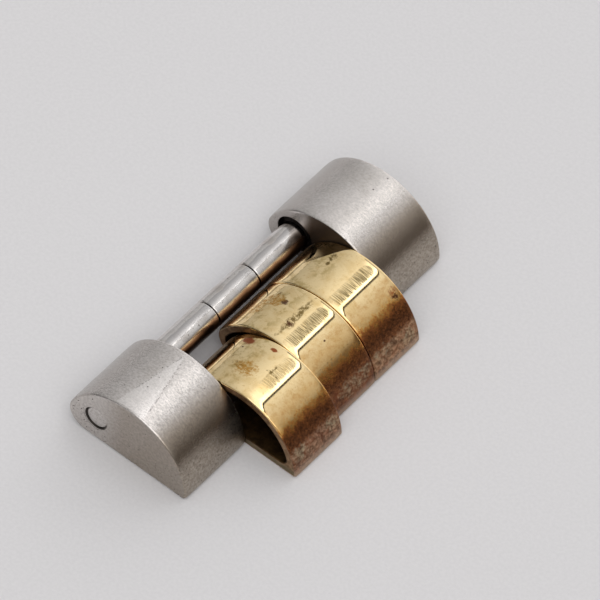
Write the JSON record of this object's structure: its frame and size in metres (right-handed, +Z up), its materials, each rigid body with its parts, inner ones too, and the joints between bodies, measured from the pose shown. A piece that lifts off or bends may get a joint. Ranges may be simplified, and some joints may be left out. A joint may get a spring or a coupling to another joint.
{
  "type": "watch bracelet link",
  "caption": "Two-tone watch bracelet link: solid steel outer links joined by two pins, loose sleeves on both pins, and hollow gold centre links that swing and slide on the rear pin.",
  "frame": {"origin": "centre of the footprint at rest, on the surface that the link lies on", "axes": "+X runs along the bracelet from the rounded nose to the sharp tail, +Y along the pins, +Z up through the half-round back"},
  "size_m": [0.0086, 0.016, 0.0031],
  "materials": {
    "satin_steel": "fine satin, worn, with soft edges",
    "pin_steel": "drawn bar, lightly scratched at the ends",
    "polished_steel": "polished tube",
    "yellow_gold": "polished yellow gold, scratched and tarnished brown towards the tail"
  },
  "bodies": {
    "root": {"outer_link_near": "satin_steel", "outer_link_far": "satin_steel", "removable_pin": "pin_steel", "fixed_pin": "pin_steel"},
    "front_sleeve_near": {"front_sleeve_near": "polished_steel"},
    "front_sleeve_middle": {"front_sleeve_middle": "polished_steel"},
    "front_sleeve_far": {"front_sleeve_far": "polished_steel"},
    "hinge_sleeve_near": {"hinge_sleeve_near": "polished_steel"},
    "centre_link_near": {"centre_link_near": "yellow_gold"},
    "hinge_sleeve_middle": {"hinge_sleeve_middle": "polished_steel"},
    "centre_link_middle": {"centre_link_middle": "yellow_gold"},
    "hinge_sleeve_far": {"hinge_sleeve_far": "polished_steel"},
    "centre_link_far": {"centre_link_far": "yellow_gold"}
  },
  "joints": [
    {"name": "front_sleeve_near_spin", "type": "hinge", "parent": "root", "child": "front_sleeve_near", "pos_m": [-0.00289, 0, 0.00122], "axis": [0, 1, 0], "continuous": true},
    {"name": "front_sleeve_middle_spin", "type": "hinge", "parent": "root", "child": "front_sleeve_middle", "pos_m": [-0.00289, 0, 0.00122], "axis": [0, 1, 0], "continuous": true},
    {"name": "front_sleeve_far_spin", "type": "hinge", "parent": "root", "child": "front_sleeve_far", "pos_m": [-0.00289, 0, 0.00122], "axis": [0, 1, 0], "continuous": true},
    {"name": "centre_link_near_swing", "type": "hinge", "parent": "root", "child": "hinge_sleeve_near", "pos_m": [0.00016, 0, 0.00122], "axis": [0, 1, 0], "range_deg": [-130, 140]},
    {"name": "centre_link_near_slide", "type": "slide", "parent": "hinge_sleeve_near", "child": "centre_link_near", "axis": [1, 0, 0], "range_m": [-0.0006, 0.00033]},
    {"name": "centre_link_middle_swing", "type": "hinge", "parent": "root", "child": "hinge_sleeve_middle", "pos_m": [0.00016, 0, 0.00122], "axis": [0, 1, 0], "range_deg": [-130, 140]},
    {"name": "centre_link_middle_slide", "type": "slide", "parent": "hinge_sleeve_middle", "child": "centre_link_middle", "axis": [1, 0, 0], "range_m": [0, 0.00094]},
    {"name": "centre_link_far_swing", "type": "hinge", "parent": "root", "child": "hinge_sleeve_far", "pos_m": [0.00016, 0, 0.00122], "axis": [0, 1, 0], "range_deg": [-130, 140]},
    {"name": "centre_link_far_slide", "type": "slide", "parent": "hinge_sleeve_far", "child": "centre_link_far", "axis": [1, 0, 0], "range_m": [0, 0.00094]}
  ]
}
